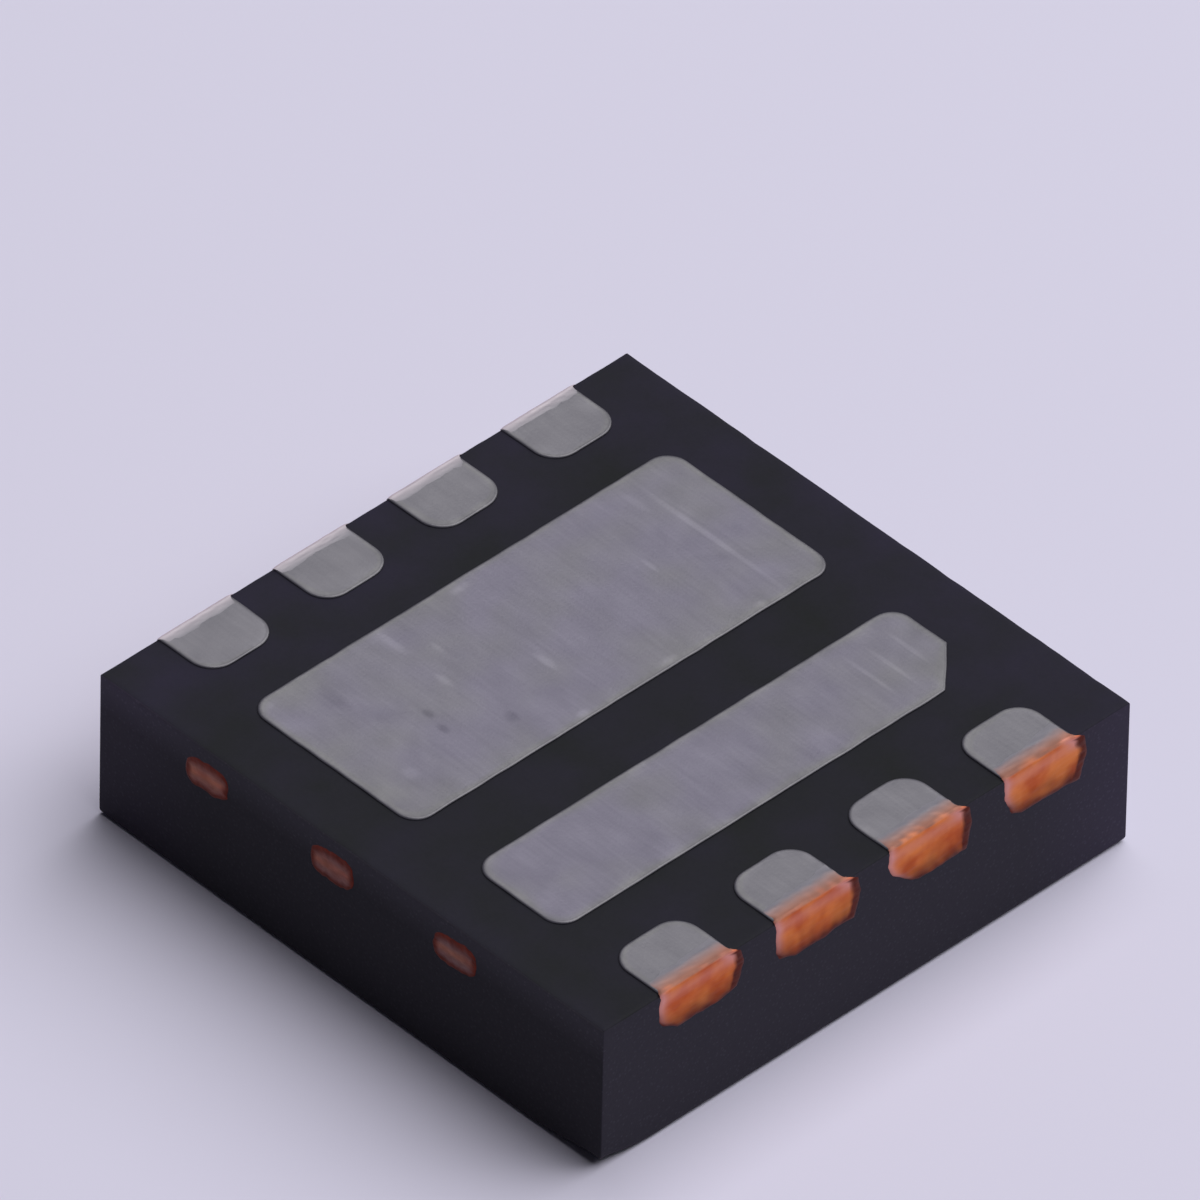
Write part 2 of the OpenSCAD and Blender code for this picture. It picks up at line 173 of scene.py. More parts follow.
# ---- Gate wires -------------------------------------------------------------
# Drawn copper wires, welded by heat and sound: a squashed ball on the die's gate pad
# and a flattened stitch on the gate lead.

# Drawn copper wire: smooth and bright, a little darker in fine rings.
drawn_wire, tree, place = new_material("drawn_copper_wire")
rings = add(tree, "TexNoise", {"Vector": place, "Scale": 1 / 0.03, "Detail": 2.0})
colour = add(tree, "Mix", {"Factor": rings, "A": linear("c98a4b"), "B": linear("b3733d")},
             data_type="RGBA")
relief = add(tree, "Bump", {"Height": rings, "Strength": 0.1, "Distance": 0.001 * MM})
shader = add(tree, "BsdfPrincipled", {
    "Base Color": colour, "Metallic": 1.0, "Roughness": 0.25, "Normal": relief})
add(tree, "OutputMaterial", {"Surface": shader})
give(["small_gate_wire", "large_gate_wire"], drawn_wire)


# ---- Moulded body -----------------------------------------------------------
# Black epoxy filled with round grains of silica. It is moulded over a whole strip of
# packages, which are then sawn apart, so the faces are moulded and the sides sawn.

body_high = np.array(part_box("moulded_body")[1]) / MM
half_width = {"x": float(body_high[0]), "y": float(body_high[1])}
FACE_Z = float(body_high[2])
# The surface lies this much outside the solid below it, so the two never flicker.
PROUD = 0.0005
MOULD_R, SAWN_EDGE_R, SAWN_CORNER_R = 0.03, 0.009, 0.006
# How much larger the moulded edge's radius is in the middle of the worn corner.
WORN = 2.2
DIMPLE_AT, DIMPLE_R, DIMPLE_DEEP, DIMPLE_EDGE = (1.05, -1.05), 0.15, 0.02, 0.014


def arc(centre, radius, start, stop, count=9):
    """Points of a circle about a centre, from one angle to another, in degrees."""
    a = np.radians(np.linspace(start, stop, count))[:, None]
    return np.array(centre) + radius * np.concatenate([np.cos(a), np.sin(a)], axis=1)


def waves(x, y, seed, size, count=9):
    """Smooth unevenness, mostly between -1 and 1: a sum of sine waves that run in
    random directions, with wavelengths from half to twice the given size."""
    rng = np.random.default_rng(seed)
    turn = rng.uniform(0, 2 * np.pi, count)
    length = size * 2.0 ** rng.uniform(-1, 1, count)
    phase = rng.uniform(0, 2 * np.pi, count)
    total = sum(np.sin(2 * np.pi * (x * np.cos(t) + y * np.sin(t)) / w + p)
                for t, w, p in zip(turn, length, phase))
    return total / math.sqrt(count)


def hump(x, centre, width):
    """A soft hump of height 1: e to minus the square of the distance over the width."""
    return np.exp(-((x - centre) / width) ** 2)


def grid_faces(rows, columns, wrap=False):
    """Point numbers of the quads of a grid, row by row. With wrap, the last row joins
    the first. They face outwards where the rows run anticlockwise round a piece, seen
    from outside, and the columns away from its middle."""
    r = np.arange(rows if wrap else rows - 1)[:, None]
    c = np.arange(columns - 1)[None, :]
    a = r * columns + c
    b = ((r + 1) % rows) * columns + c
    return np.stack([a, a + 1, b + 1, b], axis=-1).reshape(-1, 4)


def add_piece(name, points, faces, material, stands_for=None, smooth_angle=40.0):
    """An object that rides with the part, from points in millimetres and rows of four
    point numbers. Points that fall together are merged, which turns the quads round
    them into triangles or drops them."""
    _, first, merged = np.unique(
        np.round(points / 1e-5).astype(np.int64), axis=0, return_index=True,
        return_inverse=True)
    faces = merged.reshape(-1)[faces]
    faces = faces[(faces != np.roll(faces, -1, axis=1)).sum(axis=1) >= 3]
    mesh = bpy.data.meshes.new(name)
    mesh.from_pydata((points[first] * MM).tolist(), [],
                     [tuple(dict.fromkeys(row)) for row in faces.tolist()])
    mesh.validate()
    mesh.shade_smooth()
    mesh.set_sharp_from_angle(angle=math.radians(smooth_angle))
    mesh.materials.append(material)
    piece = bpy.data.objects.new(name, mesh)
    bpy.context.scene.collection.objects.link(piece)
    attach(piece, "root")
    if stands_for:
        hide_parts(stands_for)
    return piece, first


def sawn_square():
    """The body's outline from the middle of the +X side, with fine steps beside the
    corner that the dimple is near."""
    x, y = half_width["x"] + PROUD, half_width["y"] + PROUD
    r = SAWN_CORNER_R
    coarse = np.linspace(0, 1, 96, endpoint=False)[:, None]
    fine = np.linspace(0, 1, 72, endpoint=False)[:, None]
    near = 0.95

    def run(start, stop, steps):
        return np.array(start) + (np.array(stop) - np.array(start)) * steps

    return np.concatenate([
        run((x, -near), (x, y - r), coarse), arc((x - r, y - r), r, 0, 90),
        run((x - r, y), (r - x, y), coarse)[1:], arc((r - x, y - r), r, 90, 180),
        run((-x, y - r), (-x, r - y), coarse)[1:], arc((r - x, r - y), r, 180, 270),
        run((r - x, -y), (near, -y), coarse)[1:],
        run((near, -y), (x - r, -y), fine), arc((x - r, r - y), r, 270, 360),
        run((x, r - y), (x, -near), fine)[1:]])


def body_surface(rim):
    """The body as a profile carried round its outline: from the middle of the terminal
    face out to the rim, over a sharp sawn edge with small chips, down the sawn side,
    round the moulded edge and back to the middle of the marking face. The moulded edge
    is worn rounder at one corner. The dimple is sunk by a soft step of the distance to
    its rim."""
    reach = half_width["x"] + PROUD
    bend = np.radians(np.linspace(90, 0, 5))
    chip = np.clip(waves(rim[:, 0], rim[:, 1], 11, 0.16), 0, None) ** 2
    edge_r = SAWN_EDGE_R * (1 + 0.25 * waves(rim[:, 0], rim[:, 1], 12, 0.4)) + 0.002 * chip
    worn = hump(rim[:, :1], -reach, 0.14) * hump(rim[:, 1:], -reach, 0.24)
    mould_r = MOULD_R * (1 + WORN * worn)
    # Rings lie close at the edges and round the dimple, and far apart between.
    one = np.ones((len(rim), 1))
    flat = np.concatenate([np.linspace(reach, 0.1, 34), [0.07, 0.05, 0.035]])
    side_z = FACE_Z - 0.04 + (mould_r - FACE_Z + 0.04) * np.linspace(0, 1, 14)
    beside = mould_r + (0.27 - mould_r) * np.linspace(0.15, 1, 6)
    under = np.concatenate([np.arange(0.28, 0.63, 0.008), np.linspace(0.65, reach, 24)])
    bend_down = np.radians(np.linspace(0, 90, 7))
    inset = np.concatenate([
        one * flat, edge_r[:, None] * (1 - np.cos(bend)), 0 * side_z,
        mould_r * (1 - np.cos(bend_down))[1:], beside, one * under], axis=1)
    height = np.concatenate([
        one * (0 * flat + FACE_Z + PROUD),
        FACE_Z + PROUD - edge_r[:, None] * (1 - np.sin(bend)), side_z,
        mould_r * (1 - np.sin(bend_down))[1:], 0 * beside, one * 0 * under], axis=1)
    x = rim[:, :1] * (1 - inset / reach)
    y = rim[:, 1:] * (1 - inset / reach)
    off = np.hypot(x - DIMPLE_AT[0], y - DIMPLE_AT[1])
    step = np.clip((DIMPLE_R + DIMPLE_EDGE / 2 - off) / DIMPLE_EDGE, 0, 1)
    height = height + (height < 0.001) * DIMPLE_DEEP * step ** 2 * (3 - 2 * step)
    return np.stack([x, y, height], axis=-1)


# Filled epoxy: a dark violet-grey. Its faces are satin, mottled where the resin bled
# to the surface, with painted violet light towards the right and the back. Its sawn sides
# are paler with cut filler grains, and on the left one painted light at the upper edge
# fades to painted shade lower down.
filled_epoxy, tree, place = new_material("filled_epoxy_moulding")
normal = add(tree, "NewGeometry").outputs["Normal"]
facing = add(tree, "SeparateXYZ", {"Vector": normal}).outputs
at = add(tree, "SeparateXYZ", {"Vector": place}).outputs
level = add(tree, "Math", {0: facing["Z"]}, operation="ABSOLUTE")
to_row = add(tree, "Math", {0: facing["Y"]}, operation="ABSOLUTE")
level = add(tree, "Math", {0: to_row, 1: 0.4, 2: level}, operation="MULTIPLY_ADD")
moulded = add(tree, "MapRange", {"Value": level, "From Min": 0.8, "From Max": 0.99})
mottle = add(tree, "TexNoise", {"Vector": place, "Scale": 1 / 0.35, "Detail": 4.0})
grain = add(tree, "TexNoise", {"Vector": place, "Scale": 1 / 0.016, "Detail": 3.0})
filler = add(tree, "TexVoronoi", {"Vector": place, "Scale": 1 / 0.022})
mottled = add(tree, "MapRange", {"Value": mottle, "From Min": 0.3, "From Max": 0.7})
face = add(tree, "Mix", {"Factor": mottled, "A": linear("161819"), "B": linear("1d1c26")},
           data_type="RGBA")
cut_grain = add(tree, "MapRange", {"Value": filler, "From Min": 0.05, "From Max": 0.35,
                                   "To Min": 1.0, "To Max": 0.0})
side = add(tree, "Mix", {"Factor": cut_grain, "A": linear("302e37"), "B": linear("3a3842")},
           data_type="RGBA")
# On the left side, painted light near the upper edge fades to painted shade lower down.
painted_shade_by_height = add(tree, "MapRange", {"Value": at["Z"], "From Min": 0.58, "From Max": 0.77,
                              "To Min": 0.62, "To Max": 1.38})
painted_shade_side = add(tree, "VectorMath", {0: side, 1: (1.1, 1.11, 1.0)}, operation="MULTIPLY")
painted_shade_side = add(tree, "VectorMath", {0: painted_shade_side, 3: painted_shade_by_height}, operation="SCALE")
to_left = add(tree, "MapRange", {"Value": facing["X"], "From Min": -0.4, "From Max": -0.9})
side = add(tree, "Mix", {"Factor": to_left, "A": side, "B": painted_shade_side}, data_type="RGBA")
colour = add(tree, "Mix", {"Factor": moulded, "A": side, "B": face}, data_type="RGBA")
# Painted violet light, stronger towards the right and the back of the part.
to_right = add(tree, "MapRange", {"Value": at["X"], "From Min": 0.9, "From Max": 1.5})
to_back = add(tree, "MapRange", {"Value": at["Y"], "From Min": 0.85, "From Max": 1.3,
                                 "To Max": 0.85})
painted_light_right_back = add(tree, "Math", {0: to_right, 1: to_back}, operation="MAXIMUM")
painted_lit_colour = add(tree, "VectorMath", {0: colour, 1: (1.38, 1.26, 1.52)}, operation="MULTIPLY")
colour = add(tree, "Mix", {"Factor": painted_light_right_back, "A": colour, "B": painted_lit_colour}, data_type="RGBA")
dull = add(tree, "MapRange", {"Value": grain, "To Min": 0.5, "To Max": 0.68})
relief = add(tree, "Bump", {"Height": grain, "Strength": 0.35, "Distance": 0.0015 * MM})
shader = add(tree, "BsdfPrincipled", {
    "Base Color": colour, "Roughness": dull, "Specular IOR Level": 0.08, "Normal": relief})
add(tree, "OutputMaterial", {"Surface": shader})

grid = body_surface(sawn_square())
add_piece("moulded_block", grid.reshape(-1, 3), grid_faces(*grid.shape[:2], wrap=True),
          filled_epoxy, "moulded_body")
give(["moulded_body"], filled_epoxy)


# ---- Copper drawn out by the saw --------------------------------------------
# The blade drags the soft copper of each cut end along and leaves a thin smeared
# skin, a little larger than the end itself, that turns over the edge of the tin. Along
# terminals 5 to 8 it also lifts a thin burr, where the teeth come out, painted pale as a
# glint.

TIN_Z = float(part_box("wide_pad_finish")[1].z / MM)
TIN_EDGE_R = 0.013
# How far under the surface a skin's rim starts, and how far under it its back lies.
SKIN_SUNK, SKIN_BACK = 0.0004, 0.0024
# A tie bar's end as the saw leaves it: half its width, and its reach down and up.
TIE_HALF, TIE_DOWN, TIE_UP = 0.13, 0.078, 0.086


def soft_rim(share, size, near_rim, far_rim):
    """Zero at both ends of a share from 0 to 1 along a length, and 1 further in than a
    rim: the root of one minus the square of what is left of the rim."""
    near = np.clip(share * size / near_rim, 0, 1)
    far = np.clip((1 - share) * size / far_rim, 0, 1)
    return np.sqrt((1 - (1 - near) ** 2) * (1 - (1 - far) ** 2))


def smeared_skin(name, side, left, right, low, high, seed, dust_and_sheen=0.0, burr=0.0,
                 thick=0.005):
    """A closed skin on a sawn side, across it by u and up it by v. Its left and right
    edges, and its lower and upper ones, are (where, what) pairs in millimetres from
    the tin's edge. An upper edge above zero goes round the edge of the tin and on
    along its face, where the skin thins to nothing. The skin stands out by its
    thickness times the soft rims of u and v, plus a hump along the tin's edge for the
    burr. The back of the skin lies just under the surface."""
    axis, sign, middle = side
    u = np.linspace(0, 1, 48)[:, None]
    low_at = np.interp(u, *zip(*low)) + 0.004 * waves(u * 0.4, 0, seed, 0.10)
    high_at = np.interp(u, *zip(*high)) + 0.003 * waves(u * 0.4, 0.5, seed, 0.08)
    high_at = np.maximum(high_at, low_at + 0.004)
    over = float(high_at.max()) > 0
    edge_r = TIN_EDGE_R if over else 0.0
    edge_z = TIN_Z if over else FACE_Z
    v = np.linspace(0, 1, 26)[None, :]
    if over:
        bend = np.radians(np.array([[15, 30, 45, 60, 75]]))
        on = np.linspace(0, 1, 13)[None, :]
        q = np.concatenate([low_at - (edge_r + low_at) * v,
                            edge_r * (np.sin(bend) - 1) + 0 * u,
                            edge_r + (high_at - edge_r) * on], axis=1)
        lean = np.concatenate([0 * v, bend, 0 * on + np.pi / 2], axis=1)
    else:
        q = low_at + (high_at - low_at) * v
        lean = 0 * v
    up = (q - low_at) / np.maximum(high_at - low_at, 1e-6)
    left_at = np.interp(q, *zip(*left)) + 0.002 * waves(q, 0, seed + 1, 0.06)
    right_at = np.interp(q, *zip(*right)) + 0.002 * waves(q, 0.3, seed + 1, 0.06)
    across = left_at + (right_at - left_at) * u
    tall = float(np.mean(high_at - low_at))
    film = soft_rim(u, 0.4, 0.035, 0.03) * soft_rim(up, tall, 0.03, 0.03)
    drag = (0.14 * waves(across * 0.25, q, seed + 2, 0.03)
            + 0.06 * waves(across, q, seed + 3, 0.03))
    thinning = 1 - np.clip((q - edge_r) / np.maximum(high_at - edge_r, 0.01), 0, 1)
    height = thick * film * (1 + drag) * thinning + burr * hump(q, 0.004, 0.012) * film

    def stand(h):
        out = (half_width[axis] - edge_r + (edge_r + h) * np.cos(lean)
               - np.clip(q - edge_r, 0, None))
        z = edge_z - edge_r + (edge_r + h) * np.sin(lean) + np.clip(q + edge_r, None, 0)
        plan = [middle + across, sign * out]
        return np.stack((plan if axis == "y" else plan[::-1]) + [z], axis=-1)

    outer, inner = stand(height - SKIN_SUNK), stand(0 * height - SKIN_BACK)
    rows, columns = outer.shape[:2]
    count = rows * columns
    faces = grid_faces(rows, columns)
    number = np.arange(count).reshape(rows, columns)
    rim = np.concatenate([number[0, :-1], number[:-1, -1],
                          number[-1, :0:-1], number[:0:-1, 0]])
    nxt = np.roll(rim, -1)
    wall = np.stack([rim, rim + count, nxt + count, nxt], axis=-1)
    faces = np.concatenate([faces, faces[:, ::-1] + count, wall])
    if (axis == "y") == (sign < 0):
        faces = faces[:, ::-1]
    points = np.concatenate([outer.reshape(-1, 3), inner.reshape(-1, 3)])
    piece, first = add_piece(name, points, faces, sawn_copper)
    # How much of each finish shows at each point: painted pink highlights, copper rolled
    # over the edge with painted shade on the bend, tin carried along, dark red-brown at the
    # rims with painted shade on the bend, dust with a painted highlight along a tie's
    # middle, and a painted glint on the burr.
    blotch = 0.5 + 0.5 * waves(across, q, seed + 4, 0.10)
    masks = {
        # Painted pink highlights along the left edge, near the top and at the upper right
        # corner.
        "painted_pink_highlight": (hump(u, 0, 0.07) + 0.35 * hump(q, -0.045, 0.03)
                  + 0.8 * hump(u, 0.88, 0.09) * hump(q, -0.01, 0.05)),
        # Copper rolled over the edge, its colour darkened on the bend as painted shade that
        # damps the lamp's highlight.
        "rolled_and_shaded": np.clip((q + 0.009) / 0.006, 0, 1) * (0.8 + 0.3 * blotch),
        "tinned": np.clip((q - 0.01 - 0.01 * blotch) / 0.07, 0, 1),
        # Dark red-brown towards the right edge, the foot and the left edge, plus painted
        # shade on the bend over the tin's edge.
        "dark_rims_and_shade": np.clip((u - 0.885 + 0.025 * blotch) / 0.05, 0, 1) * (q < -0.02)
                   + np.clip((0.5 + 0.06 * blotch - up) / 0.5, 0, 1) ** 2.2
                   + 0.3 * hump(u, 0, 0.02) + 0.22 * over * hump(q, 0.004, 0.012),
        "dust_and_sheen": dust_and_sheen + 0 * q, "painted_burr_glint": 0 * q}
    if dust_and_sheen:
        from_rim = np.minimum((high_at - q) / 0.045, (q - low_at) / 0.032)
        from_rim = np.minimum(from_rim, np.minimum(u, 1 - u) * (2 * TIE_HALF) / 0.035)
        masks["dark_rims_and_shade"] = np.clip(1.5 - 1.2 * from_rim, 0, 1) + 0.25 * (1 - blotch)
        # Less dust along the middle of a tie's end: a painted highlight.
        masks["dust_and_sheen"] = dust_and_sheen - 0.2 * hump(up, 0.5, 0.14)
    if burr:
        # The burr painted pale as a glint.
        masks["painted_burr_glint"] = np.clip((q + 0.035) / 0.015, 0, 1)
        masks["tinned"] = np.clip(q / 0.06, 0, 1) ** 0.45
        masks["dark_rims_and_shade"] = masks["dark_rims_and_shade"] * (q < -0.03)
    for mask, value in masks.items():
        value = np.tile(np.clip(value + 0 * q, 0, 1).reshape(-1), 2)[first]
        attribute = piece.data.attributes.new(mask, "FLOAT", "POINT")
        attribute.data.foreach_set("value", value.astype(np.float32))


# Sawn copper: bright orange in the middle of an end, with painted pink highlights along
# its left edge, near its top and at its upper right corner, brown where it rolled over the
# edge and darkened on the bend as painted shade that damps the lamp's highlight, fading to
# the tin's grey beyond, and dark red-brown towards its right edge and its foot. Tie bars
# are dusty, darker at their rims and lighter along their middle as a painted highlight,
# and a burr is painted pale as a glint.
sawn_copper, tree, place = new_material("sawn_copper_alloy")
painted_pink_highlight, rolled_and_shaded, tinned, dark_rim_and_shade_mask, dust_and_sheen, painted_burr_glint = (
    add(tree, "Attribute", attribute_name=mask).outputs["Fac"]
    for mask in ("painted_pink_highlight", "rolled_and_shaded", "tinned", "dark_rims_and_shade", "dust_and_sheen", "painted_burr_glint"))
along = add(tree, "VectorMath", {0: place, 1: (1 / 0.12, 1 / 0.12, 1 / 0.02)},
            operation="MULTIPLY")
drag = add(tree, "TexNoise", {"Vector": along, "Scale": 1.0, "Detail": 4.0})
drift = add(tree, "TexNoise", {"Vector": place, "Scale": 1 / 0.12, "Detail": 2.0})
fleck = add(tree, "TexNoise", {"Vector": place, "Scale": 1 / 0.03, "Detail": 2.0})
warm = add(tree, "MapRange", {"Value": drift, "From Min": 0.35, "From Max": 0.65})
bright = add(tree, "Mix", {"Factor": warm, "A": linear("e08340"), "B": linear("c45c28")},
             data_type="RGBA")
# Painted pink highlights.
pink_highlit = add(tree, "Mix", {"Factor": painted_pink_highlight, "A": bright, "B": linear("d8968a")},
           data_type="RGBA")
# Brown where copper rolled over the edge, darkened on the bend as painted shade.
worn = add(tree, "Mix", {"Factor": rolled_and_shaded, "A": pink_highlit, "B": linear("916b5c")},
           data_type="RGBA")
# The burr painted pale as a glint.
glinting_burr = add(tree, "Mix", {"Factor": painted_burr_glint, "A": worn, "B": linear("aea5a9")},
             data_type="RGBA")
plated = add(tree, "Mix", {"Factor": tinned, "A": glinting_burr, "B": linear("717073")},
             data_type="RGBA")
dust = add(tree, "Mix", {"Factor": fleck, "A": linear("573e3c"), "B": linear("7c5f5c")},
           data_type="RGBA")
# Dust, with a painted highlight along a tie's middle.
dulled = add(tree, "Mix", {"Factor": dust_and_sheen, "A": plated, "B": dust}, data_type="RGBA")
# Dark red-brown at the rims, and painted shade on the bend.
edge = add(tree, "Mix", {"Factor": fleck, "A": linear("3c130d"), "B": linear("6c2a1b")},
           data_type="RGBA")
colour = add(tree, "Mix", {"Factor": dark_rim_and_shade_mask, "A": dulled, "B": edge}, data_type="RGBA")
scuffed = add(tree, "Math", {0: rolled_and_shaded, 1: 0.3, 2: 0.32}, operation="MULTIPLY_ADD")
dull = add(tree, "Math", {0: drag, 1: 0.28, 2: scuffed}, operation="MULTIPLY_ADD")
dull = add(tree, "Mix", {"Factor": tinned, "A": dull, "B": 0.42})
steep = add(tree, "MapRange", {"Value": tinned, "To Min": 0.5, "To Max": 0.15})
relief = add(tree, "Bump", {"Height": drag, "Strength": steep, "Distance": 0.002 * MM})
shader = add(tree, "BsdfPrincipled", {
    "Base Color": colour, "Metallic": 1.0, "Roughness": dull, "Normal": relief})
add(tree, "OutputMaterial", {"Surface": shader})

finish_boxes = {i: [np.array(corner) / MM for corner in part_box(f"terminal_finish_{i}")]
                for i in range(1, 9)}
# The left and right edges of each end by height, its foot and how far it reaches onto
# the tin by the share of the width, all seen from outside with +X to the right.
END_EDGES = {
    1: ([(-0.21, -0.155), (-0.12, -0.195), (-0.03, -0.2), (0, -0.204), (0.03, -0.194)],
        [(-0.25, 0.245), (-0.12, 0.282), (-0.03, 0.262), (0, 0.206), (0.03, 0.194)],
        [(0, -0.22), (0.15, -0.245), (1, -0.255)],
        [(0, 0.09), (0.5, 0.10), (0.8, 0.13), (1, 0.14)]),
    2: ([(-0.24, -0.07), (-0.15, -0.182), (-0.09, -0.212), (0, -0.202), (0.03, -0.194)],
        [(-0.25, 0.245), (-0.12, 0.272), (-0.03, 0.258), (0, 0.206), (0.03, 0.194)],
        [(0, -0.24), (0.2, -0.26), (1, -0.25)],
        [(0, 0.10), (0.5, 0.11), (1, 0.12)]),
    3: ([(-0.24, -0.17), (-0.17, -0.197), (0, -0.203), (0.03, -0.194)],
        [(-0.24, 0.255), (-0.12, 0.288), (-0.03, 0.27), (0, 0.206), (0.03, 0.194)],
        [(0, -0.22), (0.2, -0.253), (1, -0.238)],
        [(0, 0.10), (0.6, 0.11), (1, 0.12)]),
    4: ([(-0.22, -0.16), (-0.15, -0.212), (0, -0.205), (0.03, -0.194)],
        [(-0.24, 0.225), (-0.11, 0.275), (-0.03, 0.255), (0, 0.206), (0.03, 0.194)],
        [(0, -0.19), (0.15, -0.234), (0.8, -0.238), (1, -0.22)],
        [(0, 0.09), (0.5, 0.11), (1, 0.13)])}
# Ends 5 to 8 are drawn as the ones across from them, but turn less far onto the tin.
FAR_REACH = [(0, 0.062), (1, 0.07)]
for i, (low, high) in finish_boxes.items():
    middle = (low[0] + high[0]) / 2
    if i <= 4:
        smeared_skin(f"sawn_end_{i}", ("y", -1, middle), *END_EDGES[i], 10 * i)
    else:
        left, right, foot, _ = END_EDGES[9 - i]
        smeared_skin(f"sawn_end_{i}", ("y", 1, middle), left, right, foot, FAR_REACH,
                     10 * i, burr=0.002, thick=0.0025)

# A tie bar's end is rounded as an oval of the third power, and the blade has tilted it.
FRAME_Z = float(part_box("drain_frame")[0].z / MM)
ETCHED_T = 0.10
TIE_YS = (0.855, 0.105, -0.625)
u = np.linspace(0, 1, 25)
bow = (1 - np.abs(2 * u - 1) ** 3) ** (1 / 3)
drawn = FRAME_Z + ETCHED_T / 2 - FACE_Z + 0.024 * (0.5 - u)
for k, y in enumerate(TIE_YS):
    for sign, where in ((-1, "left"), (1, "right")):
        smeared_skin(f"tie_end_{k + 1}_{where}", ("x", sign, y),
                     [(0, -TIE_HALF)], [(0, TIE_HALF)],
                     list(zip(u, drawn - TIE_DOWN * bow)),
                     list(zip(u, drawn + TIE_UP * bow)),
                     200 + 10 * k + sign, dust_and_sheen=0.88 + 0.06 * k, thick=0.003)


# ---- Tin finish -------------------------------------------------------------
# Matte tin, plated about ten micrometres thick on every exposed copper face before
# the packages are sawn apart, so it ends in a rounded rim, or at a sawn edge.

RIM_R = 0.008
# The underside of a plated face lies this far inside the copper that carries it.
BEDDED = 0.0005


def even_path(points, step, closed):
    """The same path with points at even distances, by its length from the start."""
    if closed:
        points = np.concatenate([points, points[:1]])
    run = np.concatenate([[0], np.cumsum(np.hypot(*np.diff(points, axis=0).T))])
    count = int(round(run[-1] / step))
    at = np.linspace(0, run[-1], count + 1)[:count if closed else None]
    return np.stack([np.interp(at, run, points[:, k]) for k in (0, 1)], axis=-1)


def plated_face(name, node, path, spine, reach, closed, seed):
    """A plated face: a profile carried round the rim. Each point of the profile lies on
    the line from the rim to its nearest point of the spine, by its share of the
    way, and the profile runs from the spine over the top, round the rim and back
    underneath. The top wanders by under a micrometre, and rounds off at a sawn edge."""
    turn = np.radians(np.linspace(90, 0, 6))
    thick = TIN_Z - FACE_Z
    inset = np.concatenate([
        [reach, reach * 0.75, reach * 0.5, reach * 0.25, 0.04, 0.02, 0.012],
        RIM_R * (1 - np.cos(turn)), [0.0]])
    height = np.concatenate([[thick] * 7, thick - RIM_R * (1 - np.sin(turn)), [-BEDDED]])
    wander = 0.001 + 0.001 * waves(path[:, 0], path[:, 1], seed, 0.25)
    away = path - spine
    length = np.linalg.norm(away, axis=-1, keepdims=True)
    away = away * (1 + wander[:, None] / np.maximum(length, 1e-6))
    plan = spine[:, None, :] + away[:, None, :] * (1 - inset / reach)[None, :, None]
    uneven = 0.0006 * waves(plan[..., 0], plan[..., 1], seed + 1, 0.25)
    top_z = height + uneven * (height > 0)
    if not closed:
        left = np.clip(TIN_EDGE_R - (half_width["y"] - np.abs(plan[..., 1])), 0, TIN_EDGE_R)
        rounded = thick - TIN_EDGE_R + np.sqrt(TIN_EDGE_R ** 2 - left ** 2)
        top_z = np.minimum(top_z, np.maximum(rounded, 0))
    top = np.concatenate([plan, FACE_Z + top_z[..., None]], axis=-1)
    under = plan[:, ::-1]
    under_z = np.full(under.shape[:2] + (1,), FACE_Z - BEDDED)
    bottom = np.concatenate([under, under_z], axis=-1)
    loop = np.concatenate([top, bottom], axis=1)
    rows, columns = loop.shape[:2]
    faces = grid_faces(rows, columns, wrap=closed)
    if not closed:
        k = np.arange(columns // 2 - 1)
        cap = np.stack([k, columns - 1 - k, columns - 2 - k, k + 1], axis=-1)
        faces = np.concatenate([faces, cap, cap[:, ::-1] + (rows - 1) * columns])
    piece, first = add_piece(name, loop.reshape(-1, 3), faces, matte_tin,
                             node, smooth_angle=50.0)
    near_rim = np.clip(1 - np.concatenate([inset, inset[::-1]]) / 0.05, 0, 1)
    near_rim = np.tile(near_rim, rows)[first].astype(np.float32)
    attribute = piece.data.attributes.new("near_rim", "FLOAT", "POINT")
    attribute.data.foreach_set("value", near_rim)


# Matte tin: a soft mid-grey metal with a faint violet cast. It is blotched and wiped
# along Y in fine streaks, with lighter patches near the rims, and painted light that
# makes it lighter towards the back. Where the rims turn down, painted shade darkens them
# to damp the lamp's highlight.
matte_tin, tree, place = new_material("matte_tin_plate")
near_rim = add(tree, "Attribute", attribute_name="near_rim").outputs["Fac"]
across_y = add(tree, "SeparateXYZ", {"Vector": place}).outputs["Y"]
off_middle = add(tree, "Math", {0: across_y}, operation="ABSOLUTE")
wide = add(tree, "VectorMath", {0: place, 1: (1 / 0.11, 1 / 0.22, 1 / 0.2)},
           operation="MULTIPLY")
blotch = add(tree, "TexNoise", {"Vector": wide, "Scale": 1.0, "Detail": 3.0})
fine = add(tree, "VectorMath", {0: place, 1: (1 / 0.016, 1 / 0.25, 1 / 0.2)},
           operation="MULTIPLY")
streak = add(tree, "TexNoise", {"Vector": fine, "Scale": 1.0, "Detail": 4.0})
crystal = add(tree, "TexNoise", {"Vector": place, "Scale": 1 / 0.012, "Detail": 2.0})
patch = add(tree, "TexNoise", {"Vector": place, "Scale": 1 / 0.09, "Detail": 2.0})
cast = add(tree, "TexNoise", {"Vector": place, "Scale": 1 / 0.30, "Detail": 1.0})
